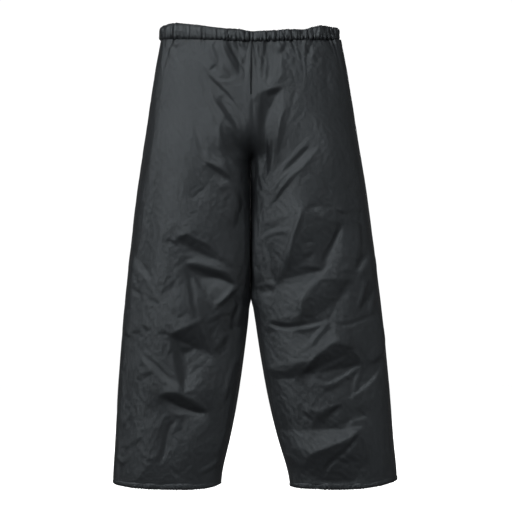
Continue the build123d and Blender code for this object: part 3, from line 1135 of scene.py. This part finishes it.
def stitches(name, path, normals, made_of, closed=False):
    """A row of machine stitches lying along a path on the cloth, sunk a little at their ends."""
    length = arc(path, closed)
    if closed:
        path, normals = np.vstack([path, path[:1]]), np.vstack([normals, normals[:1]])
    count = int(length[-1] / STITCH_PITCH)
    middles = (np.arange(count) + 0.5) * length[-1] / count
    at = at_lengths(middles, length, path)
    up = unit(at_lengths(middles, length, normals))
    ahead = unit(at_lengths(middles + 1, length, path) - at_lengths(middles - 1, length, path))
    beside = np.cross(up, ahead)
    long, wide, high = STITCH
    points, faces = [], []
    for k in range(count):
        first = len(points)
        for share, size in STITCH_RINGS:
            centre = at[k] + ahead[k] * share * long + up[k] * high * (size - 0.6)
            for turn in range(STITCH_SIDES):
                angle = 2 * math.pi * turn / STITCH_SIDES
                out = beside[k] * wide * math.cos(angle) + up[k] * high * math.sin(angle)
                points.append(centre + size * 0.5 * out)
        last = first + (len(STITCH_RINGS) - 1) * STITCH_SIDES
        for ring in range(first, last, STITCH_SIDES):
            for turn in range(STITCH_SIDES):
                a, b = ring + turn, ring + (turn + 1) % STITCH_SIDES
                faces.append((a, b, b + STITCH_SIDES, a + STITCH_SIDES))
        faces += [(first + 3, first + 2, first + 1, first), (first + 5, first + 4, first + 3, first)]
        faces += [(last, last + 1, last + 2, last + 3), (last, last + 3, last + 4, last + 5)]
    obj = make_object(name, points, faces, np.zeros((len(points), 2)), None, made_of)
    fix_outside(obj)
    return obj


def ridge(name, path, normals, width, height, made_of):
    """A raised seam along a path: a low rounded strip, closed underneath."""
    ahead = unit(np.gradient(path, axis=0))
    beside = np.cross(normals, ahead)
    profile = [(-0.5, -0.3), (-0.42, 0.45), (-0.2, 0.92), (0, 1), (0.2, 0.92), (0.42, 0.45), (0.5, -0.3)]
    outer = np.stack([path + beside * width * x + normals * height * h for x, h in profile], 1)
    inner = np.stack([path + beside * width * x - normals * 0.6 for x, _ in profile], 1)
    obj = slab(name, outer, inner, False, made_of)
    fix_outside(obj)
    return obj


bpy.context.scene.view_settings.view_transform = "Standard"

# Share of the rows above the knee split.
SPLIT = 0.507
# The layers, in from the shell's outside: thicknesses, where the wadding begins and ends, and the middle.
SHELL_THICK = 0.5
WADDING_SPAN = (1.2, 8.0)
LINING_GAP = 0.3
LINING_THICK = 0.5
# How far the lining ripples, and how much further in it hangs.
RUFFLE, LINING_SINK = 0.7, 0.8
WALL_MIDDLE = 4.7
# How much of the shell's folds goes through to the lining.
FOLD_THROUGH = 0.7

# Depth and reach of the groove under the waistband, then spacing, height and reach of the puckers there.
GROOVE = (4.0, 5.5)
GATHERS = ((10, 3.8, 14), (17, 4.4, 28), (31, 3.8, 60))


def ruched(x, y):
    """How strongly the waist is gathered, from 0 to 1: less at the front on the wearer's right."""
    front = 0.3 + 0.7 * ease((x + 75) / 30) + 0.6 * np.exp(-(((x + 158) / 11) ** 2))
    return np.where(y < 0, front, 0.85)


FIELDS = {-1: tent(FOLDS[-1], FRONT_FACETS), 1: tent(FOLDS[1])}


def inner_thigh(points, side, face):
    """How far the wadding fills out the front of the inner thigh on the wearer's right."""
    from_middle, z = side * points[..., 0], points[..., 2]
    length = ease((-265 - z) / 50) * ease((z + 660) / 160)
    fill = 9 * np.exp(-(((from_middle - 28) / 42) ** 2)) * length
    return fill if (side, face) == (-1, -1) else 0 * fill


def folded(rows, columns):
    """The panels smooth, and with their folds laid on before the simulation."""
    smooth = [panel(side, face, rows, columns) for side, face in PANELS]
    inverse, _ = weld(smooth)
    normals = grid_normals(smooth, inverse)
    grids = []
    for k, (side, face) in enumerate(PANELS):
        height = fold_height(FIELDS[face], smooth[k]) + inner_thigh(smooth[k], side, face)
        grids.append(smooth[k] + normals[k] * (height * seam_fade(smooth[k]))[..., None])
    return smooth, grids, inverse


coarse_smooth, start, inverse = folded(ROWS, COLUMNS)
moved = simulate(start, inverse)
moved = [limited(m, MOST_MOVE) for m in moved]
coarse_normals = grid_normals(coarse_smooth, inverse)
smooth, fine, inverse = folded(ROWS * UP, COLUMNS * UP)
smooth_normals = grid_normals(smooth, inverse)


def gathers(k):
    """Puckers and a groove where the waistband's stitching draws the top of a panel in."""
    random = np.random.default_rng(SEED + 20 + k)
    depth = smooth[k][0, 0, 2] - smooth[k][..., 2]
    s = arc(smooth[k][0])
    across = s + depth * 0.5 * np.sin(s / 13 + random.uniform(0, 6))
    height = -GROOVE[0] * np.exp(-((depth / GROOVE[1]) ** 2))
    for spacing, tall, reach in GATHERS:
        edges = pleat_edges(s, spacing, random)
        fold = pleats(across, edges, random.uniform(0.1, 1.4, len(edges)))
        height = height + tall * fold * np.exp(-((depth / reach) ** 1.5))
    drawn_in = ruched(smooth[k][..., 0], smooth[k][..., 1])
    return height * (0.25 + 0.75 * drawn_in) * seam_fade(smooth[k])


fine = [fine[k] + upsample(moved[k]) + smooth_normals[k] * gathers(k)[..., None] for k in range(len(PANELS))]
fine = [keep_apart(fine[k], side) for k, (side, face) in enumerate(PANELS)]
normals = grid_normals(fine, inverse)


def lowest_near(grid, reach):
    """The lowest value within a few grid steps of each point."""
    for axis in (0, 1):
        padded = np.pad(grid, [(reach, reach) if a == axis else (0, 0) for a in (0, 1)], "edge")
        size = grid.shape[axis]
        grid = np.min([np.take(padded, np.arange(size) + k, axis) for k in range(2 * reach + 1)], axis=0)
    return grid


def under_shell(k):
    """How far the shell stands out from the smooth panel: the lowest near each coarse point."""
    out = ((fine[k] - smooth[k]) * smooth_normals[k]).sum(axis=-1)
    return lowest_near(out, 3)[::UP, ::UP]


# name, darker colour, lighter colour, roughness
nylon = woven(
    "black_nylon", (0.0088, 0.0095, 0.0106), (0.0128, 0.0143, 0.0165), 0.40,
    glint=(0.86, 0.95, 1.0, 1),
)
lining_cloth = woven(
    "black_lining", (0.012, 0.012, 0.013), (0.022, 0.022, 0.024), 0.5,
    thread=0.0004, crumple=0.0008,
)
fibre = woven(
    "white_wadding", (0.55, 0.55, 0.53), (0.72, 0.72, 0.70), 0.95,
    thread=0.004, weave_depth=0.0004, crumple=0.002,
)
webbing = woven(
    "white_elastic", (0.45, 0.45, 0.43), (0.62, 0.62, 0.60), 0.8,
    thread=0.0016, weave_depth=0.0003,
)
satin = woven("label_satin", (0.60, 0.60, 0.58), (0.70, 0.70, 0.68), 0.45, thread=0.0004)
thread = woven("black_thread", (0.014, 0.014, 0.015), (0.022, 0.022, 0.023), 0.55, thread=0.0005)

# The panels above and below the split: their rows on the coarse and the fine grid, and the CAD
# lengths that each takes in.
split = int(ROWS * SPLIT)
PARTS = (
    ("upper", slice(0, split + 1), slice(0, split * UP + 1)),
    ("lower", slice(split, None), slice(split * UP, None)),
)
PLACES = {"upper": ("seat", "hip", "thigh"), "lower": ("knee", "shin")}


def join(obj, body, slot, *nodes):
    """Puts a piece under the body that it rides on and hides the CAD nodes it stands for. The slot is not
    used.
    """
    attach(obj, body)
    if nodes:
        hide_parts(*nodes)


def across_joint(obj, part):
    """Bakes a wall piece's place into its points, the same above and below the split."""
    if part == "upper":
        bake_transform(obj)
    else:
        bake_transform(obj)


def build_wall(k, side, face, part, rows, fine_rows):
    """Shell, wadding and lining of one panel, above or below the split."""
    s, f = SIDE_NAMES[side], FACE_NAMES[face]
    flip = side * face < 0
    outer, normal = fine[k][fine_rows], normals[k][fine_rows]
    shell = slab(f"{s}_{f}_{part}_shell", outer, outer - SHELL_THICK * normal, flip, nylon, normal)
    level, out = coarse_smooth[k][rows], coarse_normals[k][rows]
    under = under_shell(k)[rows][..., None]
    top = under - WADDING_SPAN[0]
    bottom = np.minimum(FOLD_THROUGH * under, 0) - WADDING_SPAN[1]
    wadding = slab(f"{s}_{f}_{part}_wadding", level + top * out, level + bottom * out, flip, fibre)
    x, z = level[..., :1], level[..., 2:]
    ruffle = RUFFLE * np.sin(z / 9 + x / 17) * np.sin(x / 13 - z / 23)
    face_out = bottom - LINING_GAP - LINING_SINK + ruffle
    face_in = face_out - LINING_THICK
    lining = slab(f"{s}_{f}_{part}_lining", level + face_out * out, level + face_in * out, flip, lining_cloth)
    layers = ((shell, "shell", "shell_fabric"), (wadding, "wadding", "wadding"), (lining, "lining", "lining"))
    for obj, layer, slot in layers:
        across_joint(obj, part)
        both = [f"{s}_{place}_{layer}" for place in PLACES[part]]
        faced = [f"{s}_{place}_{layer}_{f}" for place in PLACES[part]]
        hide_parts(*[node for node in both + faced if node in frame["nodes"]])


for k, (side, face) in enumerate(PANELS):
    for part, rows, fine_rows in PARTS:
        build_wall(k, side, face, part, rows, fine_rows)

# waistband and hems: thickness, ruching, spacing and slant of the pleats
BAND_SHAPE = (17, 2.5, 11.5, 3.0)
HEM_SHAPE = (11, 1.3, 8.0, 3.5)

# waistband
by_panel = {PANELS[k]: k for k in range(len(PANELS))}


def edge(side, face, row):
    """One row of a finished panel."""
    return fine[by_panel[side, face]][row]


waist = loop_of([edge(1, -1, 0), edge(-1, -1, 0)[::-1], edge(-1, 1, 0), edge(1, 1, 0)[::-1]])
waist = resampled(waist, 760)
# The band's top along the front: distance from the middle, height.
WAIST_TOP = np.array([
    (-200, -11), (-190, -9), (-182, -5), (-160, -3), (-136, -4.5), (-103, -9), (-84, -12.5), (-34, -17.5),
    (0, -21), (60, -19.5), (95, -17), (124, -13), (147, -9.5), (176, -8.5), (190, -12),
])
front = np.interp(waist[:, 0], *WAIST_TOP.T)
back = -6 - 5 * np.cos(np.clip(waist[:, 0] / 190, -1, 1) * np.pi / 2)
is_back = ease((waist[:, 1] + 12) / 24)
waist_top = front * (1 - is_back) + back * is_back
kernel = np.ones(25) / 25
waist_top = np.convolve(np.concatenate([waist_top[-12:], waist_top, waist_top[:12]]), kernel, "valid")
waist_bottom = waist[:, 2] - 1.5
strength = ruched(waist[:, 0], waist[:, 1])
# the elastic draws the band in a little at the wearer's left
waist[:, 0] -= 8 * ease((waist[:, 0] - 140) / 45)
band = casing("waistband", waist, waist_top, waist_bottom, WALL_MIDDLE, *BAND_SHAPE, strength, SEED, nylon)
join(band, "seat", "shell_fabric", "waistband_casing")
# the elastic stays clear of the casing's puckered edges
margin = 0.27 * (waist_top - waist_bottom)
highest, lowest = waist_top - margin, waist_bottom + margin
elastic = flat_band("waist_elastic_band", waist, highest, lowest, WALL_MIDDLE, 2, webbing)
join(elastic, "seat", "elastic", "waist_elastic")

# hems: distance of their bottoms from the middle, height
HEM_LOW = {
    1: [
        (60, -970), (80, -972), (100, -974), (180, -976.5), (210, -975.5),
        (240, -973), (271, -968.5), (300, -962), (310, -958),
    ],
    -1: [
        (55, -964), (65, -967), (75, -971), (92, -974), (126, -976),
        (190, -975.5), (225, -974), (252, -972), (281, -968), (292, -964),
    ],
}
for side in (1, -1):
    s = SIDE_NAMES[side]
    hem = resampled(loop_of([edge(side, -1, -1), edge(side, 1, -1)[::-1]]), 400)
    x = side * hem[:, 0]
    low = np.interp(x, *np.array(HEM_LOW[side]).T)
    puckered = np.exp(-((x - 150) / 40) ** 2) + 0.6 * np.exp(-((x - 222) / 14) ** 2) + 0.35
    seed = SEED + 2 + side
    cuff = casing(f"{s}_hem", hem, hem[:, 2] + 2.5, low, WALL_MIDDLE, *HEM_SHAPE, puckered, seed, nylon)
    join(cuff, f"{s}_shin", "shell_fabric", f"{s}_hem_casing")
    inner = flat_band(f"{s}_hem_elastic_band", hem, hem[:, 2] - 1, low + 3, WALL_MIDDLE, 1.5, webbing)
    join(inner, f"{s}_shin", "elastic", f"{s}_hem_elastic")
    # one row of stitches just above each hem
    row = -3
    path = resampled(loop_of([edge(side, -1, row), edge(side, 1, row)[::-1]]), 400)
    sewn = stitches(f"{s}_hem_stitches", path, outward(path), thread, closed=True)
    join(sewn, f"{s}_shin", "shell_fabric")

# rise seams
for face, name in ((-1, "front"), (1, "back")):
    k = by_panel[1, face]
    on_rise = (np.abs(fine[k][:, -1, 0]) < 1e-3) & (fine[k][:, -1, 2] > CROTCH + 8)
    path, normal = fine[k][on_rise, -1], normals[k][on_rise, -1]
    seam = ridge(f"{name}_rise", path, normal, 3.4, 1.1, nylon)
    join(seam, "seat", "shell_fabric", f"{name}_rise_seam")
    beside = fine[k][on_rise, -2]
    sewn = stitches(f"{name}_rise_stitches", beside, normals[k][on_rise, -2], thread)
    join(sewn, "seat", "shell_fabric")

# waist stitches
path = resampled(loop_of([edge(1, -1, 1), edge(-1, -1, 1)[::-1], edge(-1, 1, 1), edge(1, 1, 1)[::-1]]), 760)
sewn = stitches("waist_stitches", path - (0, 0, 1.2), outward(path), thread, closed=True)
join(sewn, "seat", "shell_fabric")

# care label, blank, hanging inside the back
low, high = (np.array(corner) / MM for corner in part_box("care_label"))
u, v = np.meshgrid(np.linspace(0, 1, 13), np.linspace(0, 1, 17))
curl = 1.2 * np.sin(3 * u + 2 * v) - 3.0 * v**2 - 1.5
drop = (high[2] - low[2]) * v - 1
sheet = np.stack([low[0] + (high[0] - low[0]) * u, low[1] + curl, high[2] - drop], -1)
label = slab("blank_care_label", sheet - (0, 0.2, 0), sheet + (0, 0.2, 0), False, satin)
fix_outside(label)
join(label, "seat", "label", "care_label")

make_camera()
make_world()
make_stage()
make_light()
